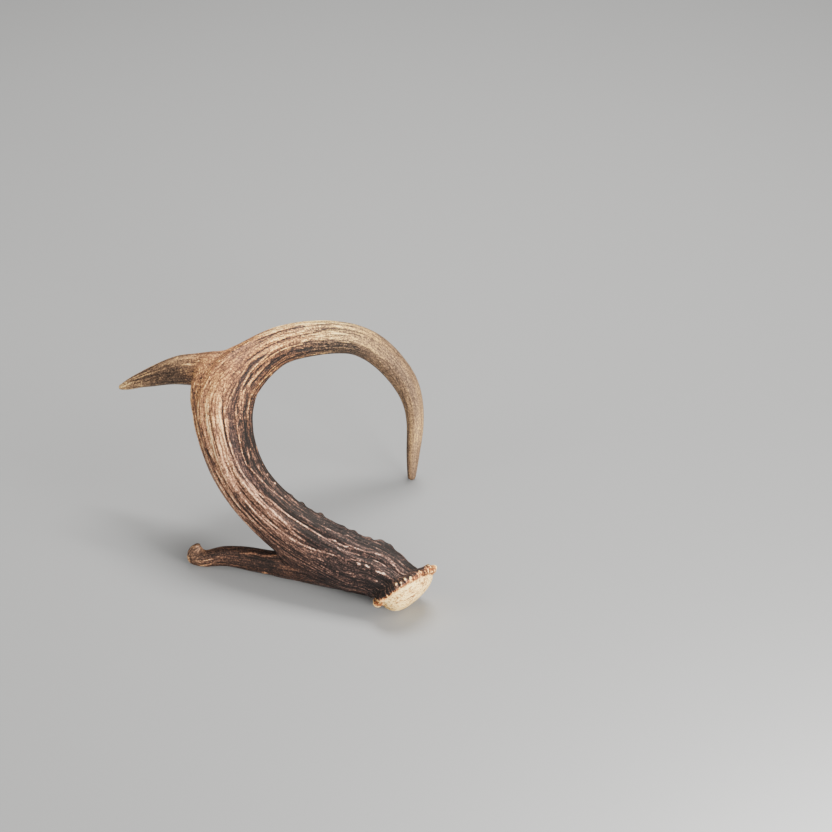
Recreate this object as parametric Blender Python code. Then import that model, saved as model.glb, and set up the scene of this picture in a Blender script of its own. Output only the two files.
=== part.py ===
"""A shed deer antler with a burr, a brow tine, a hooked upper tine and a back tine.

The script works in metres with +Z up.  The antler's stations are measured in millimetres
in an upright frame whose origin is at the foot of the beam: X runs across the curve of the
beam, Y is depth and Z is height.  The whole antler is then laid back by LEAN_DEG, so that
it rests on its burr, its brow tine and the tip of its hook, and the floor is Z = 0.
"""
import math

import bpy
import numpy as np
from mathutils import Matrix, Vector

OBJECT_NAME = "deer_antler"
MM = 0.001

# How the antler lies.
LEAN_DEG = 30.0
FLOOR_DROP = 22.6                 # height of the frame's origin over the floor, mm
CENTRE_X = -114.1                 # middle of the antler's box, mm from that origin
CENTRE_Y = 109.6
PARTING_GAP = 0.3                 # between the pieces at a fork, mm

# Stations: across, depth, height, half width in the plane of the curve, half thickness.
BEAM = (
    (-9.0, 5.0, 2.5, 23.6, 21.6),
    (-24.0, 10.0, 11.5, 23.2, 21.5),
    (-42.5, 15.5, 18.5, 24.0, 22.0),
    (-65.0, 22.0, 29.0, 24.3, 21.5),
    (-95.0, 30.0, 45.5, 23.3, 20.5),
    (-118.5, 36.5, 64.0, 22.0, 19.0),
    (-139.0, 43.5, 87.5, 21.8, 18.5),
    (-151.0, 49.5, 112.0, 23.0, 18.5),
    (-157.0, 56.0, 135.0, 24.8, 19.5),
    (-158.5, 60.5, 152.0, 26.0, 19.5),
    (-152.0, 67.0, 172.0, 24.0, 18.5),
    (-141.0, 75.0, 185.5, 21.5, 17.0),
    (-129.5, 83.5, 195.2, 19.2, 15.5),
    (-113.5, 96.0, 205.5, 16.8, 14.0),
    (-90.0, 110.5, 212.5, 15.8, 14.0),
    (-65.5, 125.0, 215.0, 14.5, 13.5),
    (-48.0, 135.0, 213.5, 13.5, 13.5),
    (-30.5, 146.0, 206.5, 13.0, 12.4),
    (-12.0, 158.5, 190.5, 12.2, 11.6),
    (1.5, 169.5, 170.5, 10.8, 10.4),
    (7.0, 177.0, 152.0, 8.7, 8.5),
    (8.0, 182.5, 135.0, 7.6, 7.4),
    (6.5, 188.5, 114.0, 6.3, 6.3),
    (5.5, 193.0, 99.5, 5.0, 5.0),
    (5.0, 195.5, 90.5, 3.9, 3.9),
)
BROW = (
    (-18.5, 15.0, 0.5, 10.5, 10.5),
    (-43.5, 24.0, 7.5, 13.5, 13.5),
    (-65.0, 32.0, 11.5, 14.0, 14.0),
    (-88.5, 40.5, 15.0, 13.0, 13.0),
    (-105.0, 46.5, 16.5, 11.5, 11.5),
    (-120.0, 51.5, 18.5, 10.5, 10.5),
    (-135.0, 56.0, 21.0, 10.2, 10.2),
    (-146.0, 59.5, 22.5, 9.5, 9.5),
    (-157.5, 62.5, 23.0, 8.7, 8.7),
    (-168.5, 65.5, 21.6, 7.6, 7.6),
    (-176.5, 67.0, 20.2, 6.9, 6.9),
    (-182.5, 68.5, 20.2, 7.0, 7.0),
)
BROW_TIP = (
    (-185.3, 69.0, 17.0, 5.2, 5.2),
    (-186.2, 68.5, 20.5, 6.4, 6.4),
    (-186.0, 68.0, 24.0, 6.6, 6.4),
    (-184.0, 67.3, 27.2, 6.0, 5.8),
    (-181.4, 66.5, 29.4, 4.9, 4.8),
)
BACK = (
    (-156.0, 71.5, 177.0, 17.0, 13.0),
    (-166.0, 75.5, 183.0, 17.5, 13.8),
    (-180.5, 82.0, 185.5, 15.0, 12.5),
    (-197.0, 90.5, 185.6, 13.0, 11.2),
    (-210.5, 98.0, 183.4, 10.9, 9.6),
    (-224.5, 105.0, 179.6, 8.6, 7.6),
    (-237.5, 111.0, 175.8, 6.2, 5.5),
    (-248.5, 116.0, 171.9, 3.9, 3.4),
    (-252.5, 118.0, 170.7, 2.5, 2.5),
)
# Bone that fills the forks: the flat palm under the back tine, and the saddle over the brow.
PALM = (
    (-160.0, 57.0, 128.0, 17.0, 13.5),
    (-166.2, 61.0, 148.0, 17.5, 14.0),
    (-170.6, 66.0, 167.0, 16.6, 13.6),
    (-173.0, 71.5, 180.0, 14.5, 12.0),
    (-178.0, 76.5, 186.5, 10.5, 9.5),
)
SADDLE = (
    (-108.0, 38.0, 27.5, 5.0, 7.0),
    (-95.0, 33.5, 25.0, 10.0, 12.0),
    (-78.0, 28.0, 20.5, 13.0, 14.5),
    (-58.0, 21.5, 13.5, 13.5, 14.5),
    (-42.0, 17.5, 9.5, 10.0, 11.0),
)

# The burr lies in its own plane, oblique to the beam.
BURR_MIDDLE = (1.3, 0.0, -2.1)
BURR_NORMAL = (0.51, -0.14, -0.85)        # out of the base
BURR_FLATNESS = 0.92                      # thickness over width of the base
SEAL_RADIUS = 24.8
SEAL_HEIGHT = 12.0
SEAL_LEAN = 0.3                           # the dome is fuller on its lower side
BURR_PROFILE = ((-0.3, 25.4), (1.0, 28.0), (3.2, 29.4), (5.4, 28.3), (7.6, 25.6))
BEAD_COUNT = 30
BEAD_HEIGHT = 1.9
OBLIQUE_LENGTH = 48.0                     # the sections turn square to the beam over this

# Relief along the beam and the tines.
RIDGE_COUNT = 11
RIDGE_HEIGHT = 0.75
GROOVE_DEPTH = 1.8
GROOVE_HALF_WIDTH = 3.2
GROOVE_PATH = (                           # distance from the burr, angle in degrees
    (130.0, 111.0), (164.0, 112.0), (203.0, 107.0), (246.0, 107.0), (271.0, 100.0), (300.0, 92.0))
# Pearls on the beam: distance from the burr in mm, angle in degrees, radius, height.
PEARLS = (
    (17.0, 178.0, 9.0, 2.4),
    (24.5, 176.0, 5.5, 3.8),
    (30.0, 178.0, 5.5, 4.2),
    (38.0, 186.0, 6.0, 2.2),
    (52.0, 176.0, 6.0, 1.9),
    (65.0, 190.0, 5.0, 0.8),
    (74.0, 170.0, 4.5, 0.7),
    (87.0, 180.0, 6.0, 2.1),
    (99.0, 196.0, 4.5, 0.8),
    (109.0, 176.0, 6.0, 2.4),
    (124.0, 186.0, 5.0, 1.0),
    (138.0, 172.0, 5.0, 0.8),
    (44.0, 212.0, 5.5, 1.8),
    (80.0, 207.0, 5.5, 1.6),
    (60.0, 154.0, 5.0, 1.2),
)

# How the bone fills the angle at a fork, height and reach.
BROW_WEB = (1.2, 5.0)
BACK_WEB = (2.2, 8.0)
TIP_WEB = (0.4, 2.5)
FORK_REACH = 5.0                          # the joined surface is softened this near a fork
FORK_PASSES = 5
BURR_ZONE = 45.0                          # nothing is softened this near the burr

# Mesh density.
BEAM_AROUND = 45
BROW_AROUND = 28
BACK_AROUND = 24
FINE_STEP = 6.0
FINE_LENGTH = 132.0
COARSE_STEP = 12.5
BROW_STEP = 10.0
BROW_TIP_AROUND = 16
BROW_TIP_STEP = 3.5
BACK_STEP = 9.0

DEPTH_AXIS = np.array((0.0, 1.0, 0.0))


def unit(vectors):
    """Vectors scaled to length one."""
    vectors = np.asarray(vectors, float)
    return vectors / np.linalg.norm(vectors, axis=-1, keepdims=True)


def smooth(value):
    """Smooth ramp from 0 at 0 to 1 at 1."""
    value = np.clip(value, 0.0, 1.0)
    return value * value * (3.0 - 2.0 * value)


class Branch:
    """A smooth tube through stations, with a section frame at every point of it."""

    def __init__(self, stations, start_axis=None):
        self.knots = np.asarray(stations, float)
        chords = np.linalg.norm(np.diff(self.knots[:, :3], axis=0), axis=1)
        self.stops = np.concatenate(([0.0], np.cumsum(chords)))
        self.curvature = self.solve_curvature()
        self.start_axis = start_axis

    @property
    def length(self):
        return self.stops[-1]

    def solve_curvature(self):
        """Second derivatives of a natural cubic spline through the stations."""
        count = len(self.stops)
        steps = np.diff(self.stops)
        matrix = np.eye(count)
        rhs = np.zeros_like(self.knots)
        for i in range(1, count - 1):
            matrix[i, i - 1] = steps[i - 1]
            matrix[i, i] = 2.0 * (steps[i - 1] + steps[i])
            matrix[i, i + 1] = steps[i]
            ahead = (self.knots[i + 1] - self.knots[i]) / steps[i]
            behind = (self.knots[i] - self.knots[i - 1]) / steps[i - 1]
            rhs[i] = 6.0 * (ahead - behind)
        return np.linalg.solve(matrix, rhs)

    def at(self, s):
        """Middle, tangent, half width and half thickness at distances s."""
        s = np.asarray(s, float)
        i = np.clip(np.searchsorted(self.stops, s) - 1, 0, len(self.stops) - 2)
        step = (self.stops[i + 1] - self.stops[i])[:, None]
        t = s[:, None] - self.stops[i][:, None]
        k0, k1 = self.knots[i], self.knots[i + 1]
        c0, c1 = self.curvature[i], self.curvature[i + 1]
        slope = (k1 - k0) / step - step * (2.0 * c0 + c1) / 6.0
        value = k0 + slope * t + c0 * t * t / 2.0 + (c1 - c0) * t ** 3 / (6.0 * step)
        rate = slope + c0 * t + (c1 - c0) * t * t / (2.0 * step)
        return value[:, :3], unit(rate[:, :3]), value[:, 3], value[:, 4]

    def frames(self, s):
        """Middle, tangent, outward and front directions and half sizes at distances s."""
        middle, tangent, width, thickness = self.at(s)
        if self.start_axis is not None:
            turned = smooth(np.asarray(s) / OBLIQUE_LENGTH)[:, None]
            tangent = unit((1.0 - turned) * self.start_axis + turned * tangent)
        outward = unit(np.cross(tangent, DEPTH_AXIS))
        front = np.cross(tangent, outward)
        return middle, tangent, outward, front, width, thickness

    def distance(self, points):
        """Rough distance in mm from points to this branch's surface, negative inside."""
        samples = np.linspace(0.0, self.length, 90)
        middle, tangent, outward, front, width, thickness = self.frames(samples)
        offsets = points[:, None, :] - middle[None, :, :]
        nearest = np.argmin((offsets ** 2).sum(axis=2), axis=1)
        offset = points - middle[nearest]
        across = (offset * outward[nearest]).sum(axis=1) / width[nearest]
        through = (offset * front[nearest]).sum(axis=1) / thickness[nearest]
        past_end = (offset * tangent[nearest]).sum(axis=1) / width[nearest]
        ratio = np.sqrt(across ** 2 + through ** 2 + past_end ** 2)
        reach = np.linalg.norm(offset, axis=1)
        return reach * (1.0 - 1.0 / np.maximum(ratio, 1e-6))


def bump(distance, radius):
    """A round bump, 1 at distance 0 and nearly 0 at the radius."""
    return np.exp(-(distance / (0.6 * radius)) ** 2)


def ridges(s, angle, radius):
    """Long low ridges that drift slowly around the branch, in mm."""
    drift = 0.35 * np.sin(s / 61.0) + 0.25 * np.sin(s / 23.0 + 1.3)
    wave = np.cos(RIDGE_COUNT * angle + 3.0 * drift)
    uneven = 0.7 + 0.3 * np.sin(3.0 * angle + s / 37.0) + 0.2 * np.sin(5.0 * angle - s / 19.0)
    return RIDGE_HEIGHT * wave * uneven * smooth((radius - 4.0) / 18.0)


def beam_relief(s, angle, radius):
    """Ridges, the long groove on the front and the pearls, in mm."""
    height = ridges(s, angle, radius)
    path = np.asarray(GROOVE_PATH)
    middle = np.radians(np.interp(s, path[:, 0], path[:, 1]))
    fade = smooth((s - path[0, 0]) / 30.0) * smooth((path[-1, 0] - s) / 30.0)
    off_groove = (angle - middle) * radius
    height = height - GROOVE_DEPTH * fade * bump(off_groove, 2.0 * GROOVE_HALF_WIDTH)
    for place, degrees, size, rise in PEARLS:
        around = (angle - math.radians(degrees)) * radius
        height = height + rise * bump(np.hypot(s - place, around), size)
    return height


def webs(points, normals, forks):
    """Points raised where the other branch of a fork is close, which rounds the fork."""
    for other, (height, reach) in forks:
        near = np.exp(-(other.distance(points) / reach) ** 2)
        points = points + normals * (height * near)[:, None]
    return points


def lay_down(points):
    """Upright metres to resting metres, flat where the antler touches the floor."""
    lean = math.radians(LEAN_DEG)
    x, y, z = points[:, 0], points[:, 1], points[:, 2]
    resting = np.stack((
        x - CENTRE_X * MM,
        z * math.sin(lean) + y * math.cos(lean) - CENTRE_Y * MM,
        z * math.cos(lean) - y * math.sin(lean) + FLOOR_DROP * MM,
    ), axis=1)
    resting[:, 2] = np.maximum(resting[:, 2], 0.0)
    return resting


def soften_forks(points, edges, forks):
    """Points near both surfaces of a fork, drawn towards the middle of their neighbours."""
    nearness = np.zeros(len(points))
    for first, second in forks:
        gap = np.maximum(np.abs(first.distance(points)), np.abs(second.distance(points)))
        nearness = np.maximum(nearness, smooth(1.5 - gap / FORK_REACH))
    nearness *= smooth(np.linalg.norm(points, axis=1) / BURR_ZONE - 1.0)
    ends = np.concatenate((edges, edges[:, ::-1]))
    count = np.bincount(ends[:, 0], minlength=len(points))[:, None]
    for _ in range(FORK_PASSES):
        total = np.zeros_like(points)
        np.add.at(total, ends[:, 0], points[ends[:, 1]])
        points = points + 0.6 * nearness[:, None] * (total / count - points)
    return points


def ring(branch, s, around, relief, forks):
    """One section's points in the upright frame."""
    angle = np.arange(around) * 2.0 * math.pi / around
    middle, _, outward, front, width, thickness = branch.frames([s])
    cos, sin = np.cos(angle)[:, None], np.sin(angle)[:, None]
    points = middle + width * cos * outward + thickness * sin * front
    normals = unit(thickness * cos * outward + width * sin * front)
    radius = math.sqrt(width[0] * thickness[0])
    points = points + normals * relief(np.full(around, s), angle, radius)[:, None]
    return webs(points, normals, forks)


def tip_rings(branch, around):
    """Shrinking sections and the end point that round off a tip."""
    middle, tangent, outward, front, width, thickness = branch.frames([branch.length])
    angle = np.arange(around) * 2.0 * math.pi / around
    cos, sin = np.cos(angle)[:, None], np.sin(angle)[:, None]
    rings = []
    for turn in (35.0, 65.0):
        shrink = math.cos(math.radians(turn))
        ahead = middle + tangent * width * math.sin(math.radians(turn))
        rings.append(ahead + shrink * (width * cos * outward + thickness * sin * front))
    return rings, middle + tangent * width


def base_rings(around):
    """The seal and the burr, as sections from the seal's middle to the foot of the beam."""
    axis = unit(BURR_NORMAL)
    outward = unit(np.cross(-axis, DEPTH_AXIS))
    front = np.cross(-axis, outward)
    angle = np.arange(around) * 2.0 * math.pi / around
    cos, sin = np.cos(angle)[:, None], np.sin(angle)[:, None]

    def section(radius, height):
        flat = radius * cos * outward + BURR_FLATNESS * radius * sin * front
        return np.array(BURR_MIDDLE) + flat - height * axis

    rings = []
    for share in (0.3, 0.58, 0.8, 0.93):
        cap = SEAL_HEIGHT * (1.0 - share ** 3) ** 0.6
        lean = 1.0 + SEAL_LEAN * share * cos
        rings.append(section(SEAL_RADIUS * share, -cap * lean))
    bead = np.arange(around) * BEAD_COUNT / around
    swell = np.cos(2.0 * math.pi * bead)[:, None]
    uneven = 1.0 + 0.35 * np.sin(5.0 * angle + 0.7)[:, None] + 0.2 * np.sin(11.0 * angle)[:, None]
    last = len(BURR_PROFILE) - 1
    for i, (height, radius) in enumerate(BURR_PROFILE):
        share = math.sin(math.pi * i / last)
        rings.append(section(radius + BEAD_HEIGHT * share * (swell * uneven + 0.4), height))
    return rings, np.array(BURR_MIDDLE) + axis * SEAL_HEIGHT


def skin(rows, first_point=None, last_point=None):
    """Faces over rows of points; a row may have half as many points as the one before."""
    starts = np.cumsum([0] + [len(row) for row in rows])
    points = np.concatenate(rows)
    faces = []
    for i in range(len(rows) - 1):
        low, high = starts[i], starts[i + 1]
        count, upper = len(rows[i]), len(rows[i + 1])
        for j in range(upper):
            k = (j + 1) % upper
            if count == upper:
                faces.append((low + j, low + k, high + k, high + j))
                continue
            left, mid, right = 2 * j, 2 * j + 1, (2 * j + 2) % count
            faces.append((low + left, low + mid, high + j))
            faces.append((low + mid, high + k, high + j))
            faces.append((low + mid, low + right, high + k))
    count = len(rows[0])
    foot = len(points)
    points = np.concatenate((points, np.reshape(first_point, (1, 3))))
    faces.extend((foot, (j + 1) % count, j) for j in range(count))
    count, low = len(rows[-1]), starts[-2]
    head = len(points)
    points = np.concatenate((points, np.reshape(last_point, (1, 3))))
    faces.extend((head, low + j, low + (j + 1) % count) for j in range(count))
    return points, faces


def distances(length, fine_length, fine_step, step):
    """Distances along a branch, closer together over its first stretch."""
    fine = np.arange(0.0, fine_length, fine_step)
    rest = np.linspace(fine_length, length, max(2, round((length - fine_length) / step) + 1))
    return np.concatenate((fine, rest))


def mesh_object(name, points, faces, collection):
    """A mesh object of points in millimetres."""
    mesh = bpy.data.meshes.new(name)
    mesh.from_pydata((points * MM).tolist(), [], faces)
    mesh.validate()
    made = bpy.data.objects.new(name, mesh)
    collection.objects.link(made)
    return made


def make_beam(beam, forks, collection):
    """The seal, the burr, the beam and its hook as one closed solid."""
    rows, foot = base_rings(2 * BEAM_AROUND)
    for s in distances(beam.length, FINE_LENGTH, FINE_STEP, COARSE_STEP):
        rows.append(ring(beam, s, BEAM_AROUND, beam_relief, forks))
    ends, head = tip_rings(beam, BEAM_AROUND)
    points, faces = skin(rows + ends, foot, head)
    return mesh_object("whole_antler", points, faces, collection)


def make_tine(name, tine, around, step, fork, collection):
    """One tine as a closed solid whose root is buried in the branch it grows from."""
    rows = [ring(tine, s, around, ridges, [fork]) for s in distances(tine.length, 0.0, 1.0, step)]
    ends, head = tip_rings(tine, around)
    points, faces = skin(rows + ends, tine.knots[0, :3], head)
    return mesh_object(name, points, faces, collection)


def boolean(target, other, operation):
    """An exact Boolean modifier on target."""
    modifier = target.modifiers.new(other.name, "BOOLEAN")
    modifier.operation = operation
    modifier.solver = "EXACT"
    modifier.object = other


def settled_mesh(source, name):
    """The evaluated mesh of an object, as new mesh data."""
    depsgraph = bpy.context.evaluated_depsgraph_get()
    mesh = bpy.data.meshes.new_from_object(source.evaluated_get(depsgraph))
    mesh.name = name
    return mesh


def parting_box(name, place, along, across, sizes, setback, collection):
    """A box that holds one tine, with its first face on the parting plane."""
    lean = Matrix.Rotation(math.radians(-LEAN_DEG), 3, "X")
    axis_1 = (lean @ Vector(along)).normalized()
    axis_2 = lean @ Vector(across)
    axis_2 = (axis_2 - axis_2.dot(axis_1) * axis_1).normalized()
    axis_3 = axis_1.cross(axis_2)
    corner = Vector(lay_down(np.array([place]) * MM)[0]) - axis_1 * setback * MM
    (length, low_2, high_2, low_3, high_3) = sizes
    bpy.ops.mesh.primitive_cube_add(size=1.0)
    box = bpy.context.object
    box.name = name
    spans = (length + setback, high_2 - low_2, high_3 - low_3)
    middle = corner + MM * (
        axis_1 * spans[0] / 2.0 + axis_2 * (low_2 + high_2) / 2.0 + axis_3 * (low_3 + high_3) / 2.0)
    turn = Matrix((axis_1, axis_2, axis_3)).transposed().to_4x4()
    scale = Matrix.Diagonal((*(span * MM for span in spans), 1.0))
    box.data.transform(Matrix.Translation(middle) @ turn @ scale)
    for owner in list(box.users_collection):
        owner.objects.unlink(box)
    collection.objects.link(box)
    box.display_type = "WIRE"
    box.hide_render = True
    return box


def material(name, colour, roughness):
    """A plain material with the piece's overall colour."""
    made = bpy.data.materials.new(name)
    made.use_nodes = True
    shader = made.node_tree.nodes["Principled BSDF"]
    shader.inputs["Base Color"].default_value = (*colour, 1.0)
    shader.inputs["Roughness"].default_value = roughness
    shader.inputs["Metallic"].default_value = 0.0
    return made


def main():
    for old in list(bpy.data.objects):
        bpy.data.objects.remove(old, do_unlink=True)
    antler = bpy.data.collections.new(OBJECT_NAME)
    cutters = bpy.data.collections.new("cutters")
    bpy.context.scene.collection.children.link(antler)
    bpy.context.scene.collection.children.link(cutters)

    beam = Branch(BEAM, start_axis=-unit(BURR_NORMAL))
    brow = Branch(BROW)
    brow_tip = Branch(BROW_TIP)
    back = Branch(BACK)
    whole = make_beam(beam, [(brow, BROW_WEB), (back, BACK_WEB)], cutters)
    joined = [
        make_tine("saddle", Branch(SADDLE), BACK_AROUND, BACK_STEP, (beam, BROW_WEB), cutters),
        make_tine("brow_root", brow, BROW_AROUND, BROW_STEP, (beam, BROW_WEB), cutters),
        make_tine("brow_end", brow_tip, BROW_TIP_AROUND, BROW_TIP_STEP, (brow, TIP_WEB), cutters),
        make_tine("back_root", back, BACK_AROUND, BACK_STEP, (beam, BACK_WEB), cutters),
        make_tine("palm", Branch(PALM), BACK_AROUND, BACK_STEP, (beam, BROW_WEB), cutters),
    ]
    for tine in joined:
        boolean(whole, tine, "UNION")
    grown = settled_mesh(whole, "grown")
    for used in (whole, *joined):
        bpy.data.objects.remove(used, do_unlink=True)
    points = np.array([vertex.co for vertex in grown.vertices]) / MM
    edges = np.array([edge.vertices[:] for edge in grown.edges])
    points = soften_forks(points, edges, [(beam, brow), (beam, back), (brow, brow_tip)])
    grown.vertices.foreach_set("co", lay_down(points * MM).ravel())
    grown.update()

    # Where the antler is parted: place, direction out of the fork, upward direction, box.
    partings = {
        "brow_tine": ((-130.0, 56.0, 22.3), (-0.94, 0.33, 0.0), (0.0, 0.0, 1.0),
                      (80.0, -30.0, 16.0, -30.0, 30.0)),
        "back_tine": ((-193.0, 88.5, 185.0), (-0.9, 0.42, -0.08), (0.0, 0.0, 1.0),
                      (90.0, -30.0, 30.0, -30.0, 30.0)),
        "hook_tine": ((-125.0, 88.5, 199.5), (0.80, 0.50, 0.33), (-0.38, 0.0, 0.92),
                      (185.0, -175.0, 60.0, -110.0, 110.0)),
    }
    looks = {
        "main_beam": ((0.16, 0.10, 0.065), 0.62),
        "brow_tine": ((0.11, 0.07, 0.045), 0.6),
        "back_tine": ((0.17, 0.11, 0.07), 0.6),
        "hook_tine": ((0.42, 0.32, 0.20), 0.5),
    }
    pieces = {}
    for name, (colour, roughness) in looks.items():
        pieces[name] = bpy.data.objects.new(name, grown.copy())
        pieces[name].data.materials.clear()
        pieces[name].data.materials.append(material(name, colour, roughness))
        antler.objects.link(pieces[name])
    for name, parting in partings.items():
        holding = parting_box(f"{name}_box", *parting, 0.0, cutters)
        clearing = parting_box(f"{name}_clearing", *parting, PARTING_GAP, cutters)
        boolean(pieces[name], holding, "INTERSECT")
        boolean(pieces["main_beam"], clearing, "DIFFERENCE")
    for piece in pieces.values():
        piece.data.shade_smooth()
        piece.data.set_sharp_from_angle(angle=math.radians(50.0))


main()
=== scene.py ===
"""The looks of a shed deer antler: its grained, furrowed and pearled surface, and the studio.

The antler's surface is grown here once more from the same stations as its solids, finely
enough for its furrows, pearls and beads to be real relief, and stands for all four solids.
The stations are millimetres in an upright frame whose origin is at the foot of the beam: X
runs across the curve, Y is depth and Z is height.  The antler is then laid back by LEAN_DEG.
"""
import math

import bpy
import numpy as np
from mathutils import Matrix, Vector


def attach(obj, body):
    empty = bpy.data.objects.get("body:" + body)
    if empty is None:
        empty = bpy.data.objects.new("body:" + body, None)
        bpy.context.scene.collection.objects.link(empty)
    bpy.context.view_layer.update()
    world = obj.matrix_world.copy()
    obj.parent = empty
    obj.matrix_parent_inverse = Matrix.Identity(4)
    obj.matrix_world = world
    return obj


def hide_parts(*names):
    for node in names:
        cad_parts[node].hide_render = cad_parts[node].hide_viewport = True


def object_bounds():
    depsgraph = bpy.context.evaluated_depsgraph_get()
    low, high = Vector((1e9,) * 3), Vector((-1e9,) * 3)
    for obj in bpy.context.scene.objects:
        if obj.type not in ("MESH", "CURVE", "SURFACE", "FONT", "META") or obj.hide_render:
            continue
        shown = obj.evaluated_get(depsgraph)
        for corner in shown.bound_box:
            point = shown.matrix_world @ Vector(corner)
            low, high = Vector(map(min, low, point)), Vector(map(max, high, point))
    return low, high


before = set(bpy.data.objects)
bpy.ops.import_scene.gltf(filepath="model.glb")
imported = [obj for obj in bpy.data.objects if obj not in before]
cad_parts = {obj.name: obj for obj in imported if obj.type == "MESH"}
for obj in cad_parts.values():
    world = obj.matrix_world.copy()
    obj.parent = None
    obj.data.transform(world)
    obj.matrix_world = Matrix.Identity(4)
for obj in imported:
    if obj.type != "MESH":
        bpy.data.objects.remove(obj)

CAD_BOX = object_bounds()
MM = 0.001
TURN = 2.0 * math.pi
DEPTH_AXIS = np.array((0.0, 1.0, 0.0))

# How the antler lies: laid back, then moved so that it rests on the floor round the origin.
LEAN_DEG = 30.0
FLOOR_DROP = 22.6
CENTRE_X = -114.1
CENTRE_Y = 109.6

# Stations: across, depth, height, half width in the plane of the curve, half thickness.
BEAM = (
    (-9.0, 5.0, 2.5, 23.6, 21.6),
    (-24.0, 10.0, 11.5, 23.2, 21.5),
    (-42.5, 15.5, 18.5, 24.0, 22.0),
    (-65.0, 22.0, 29.0, 24.3, 21.5),
    (-95.0, 30.0, 45.5, 23.3, 20.5),
    (-118.5, 36.5, 64.0, 22.0, 19.0),
    (-139.0, 43.5, 87.5, 21.8, 18.5),
    (-151.0, 49.5, 112.0, 23.0, 18.5),
    (-157.0, 56.0, 135.0, 24.8, 19.5),
    (-158.5, 60.5, 152.0, 26.0, 19.5),
    (-152.0, 67.0, 172.0, 24.0, 18.5),
    (-141.0, 75.0, 185.5, 21.5, 17.0),
    (-129.5, 83.5, 195.2, 19.2, 15.5),
    (-113.5, 96.0, 205.5, 16.8, 14.0),
    (-90.0, 110.5, 212.5, 15.8, 14.0),
    (-65.5, 125.0, 215.0, 14.5, 13.5),
    (-48.0, 135.0, 213.5, 13.5, 13.5),
    (-30.5, 146.0, 206.5, 13.0, 12.4),
    (-12.0, 158.5, 190.5, 12.2, 11.6),
    (1.5, 169.5, 170.5, 10.8, 10.4),
    (7.0, 177.0, 152.0, 8.7, 8.5),
    (8.0, 182.5, 135.0, 7.6, 7.4),
    (6.5, 188.5, 114.0, 6.3, 6.3),
    (5.5, 193.0, 99.5, 5.0, 5.0),
    (5.0, 195.5, 90.5, 3.9, 3.9),
)
BROW = (
    (-18.5, 15.0, 0.5, 10.5, 10.5),
    (-43.5, 24.0, 7.5, 13.5, 13.5),
    (-65.0, 32.0, 11.5, 14.0, 14.0),
    (-88.5, 40.5, 15.0, 13.0, 13.0),
    (-105.0, 46.5, 16.5, 11.5, 11.5),
    (-120.0, 51.5, 18.5, 10.5, 10.5),
    (-135.0, 56.0, 21.0, 10.2, 10.2),
    (-146.0, 59.5, 22.5, 9.5, 9.5),
    (-157.5, 62.5, 23.0, 8.7, 8.7),
    (-168.5, 65.5, 21.6, 7.6, 7.6),
    (-176.5, 67.0, 20.2, 6.9, 6.9),
    (-182.5, 68.5, 20.2, 7.0, 7.0),
)
BROW_TIP = (
    (-185.3, 69.0, 17.0, 5.2, 5.2),
    (-186.2, 68.5, 20.5, 6.4, 6.4),
    (-186.0, 68.0, 24.0, 6.6, 6.4),
    (-184.0, 67.3, 27.2, 6.0, 5.8),
    (-181.4, 66.5, 29.4, 4.9, 4.8),
)
BACK = (
    (-156.0, 71.5, 177.0, 17.0, 13.0),
    (-166.0, 75.5, 183.0, 17.5, 13.8),
    (-180.5, 82.0, 185.5, 15.0, 12.5),
    (-197.0, 90.5, 185.6, 13.0, 11.2),
    (-210.5, 98.0, 183.4, 10.9, 9.6),
    (-224.5, 105.0, 179.6, 8.6, 7.6),
    (-237.5, 111.0, 175.8, 6.2, 5.5),
    (-248.5, 116.0, 171.9, 3.9, 3.4),
    (-252.5, 118.0, 170.7, 2.5, 2.5),
)
# Bone that fills the forks: the flat palm under the back tine, and the saddle over the brow.
PALM = (
    (-160.0, 57.0, 128.0, 17.0, 13.5),
    (-166.2, 61.0, 148.0, 17.5, 14.0),
    (-170.6, 66.0, 167.0, 16.6, 13.6),
    (-173.0, 71.5, 180.0, 14.5, 12.0),
    (-178.0, 76.5, 186.5, 10.5, 9.5),
)
SADDLE = (
    (-108.0, 38.0, 27.5, 5.0, 7.0),
    (-95.0, 33.5, 25.0, 10.0, 12.0),
    (-78.0, 28.0, 20.5, 13.0, 14.5),
    (-58.0, 21.5, 13.5, 13.5, 14.5),
    (-42.0, 17.5, 9.5, 10.0, 11.0),
)

# The burr and its seal, in a plane of their own, oblique to the beam.
BURR_MIDDLE = (1.3, 0.0, -2.1)
BURR_NORMAL = (0.51, -0.14, -0.85)
BURR_FLATNESS = 0.92
SEAL_RADIUS = 24.8
SEAL_HEIGHT = 12.0
SEAL_LEAN = 0.3
BURR_PROFILE = ((-0.3, 25.4), (1.0, 28.0), (3.2, 29.4), (5.4, 28.3), (7.6, 25.6))  # height, radius
OBLIQUE_LENGTH = 48.0  # over this the sections turn from the burr's plane to the beam's
BURR_KNOBS = (  # angle, height over the burr's plane, radius, rise in mm
    (3.03, 3.4, 4.2, 2.0), (3.1, 8.2, 2.8, 1.9), (3.5, 4.2, 3.6, 1.6), (2.72, 5.6, 2.4, 1.6),
    (0.25, 1.8, 4.2, 3.2), (0.62, 2.0, 3.2, 2.0), (0.05, 5.6, 2.6, 1.6),
    (1.4, 5.2, 2.3, 1.5), (1.54, 4.4, 1.9, 1.3), (1.69, 5.0, 2.4, 1.6), (1.86, 4.2, 2.0, 1.2))
BURR_BAND = (  # angle in degrees, how far the beads reach up the beam, mm
    (0, 6.2), (25, 5.2), (42, 2.6), (76, 2.2), (95, 3.4), (120, 4.8), (140, 6.6), (180, 7.6),
    (230, 5.0), (300, 3.8), (340, 5.4))

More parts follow.
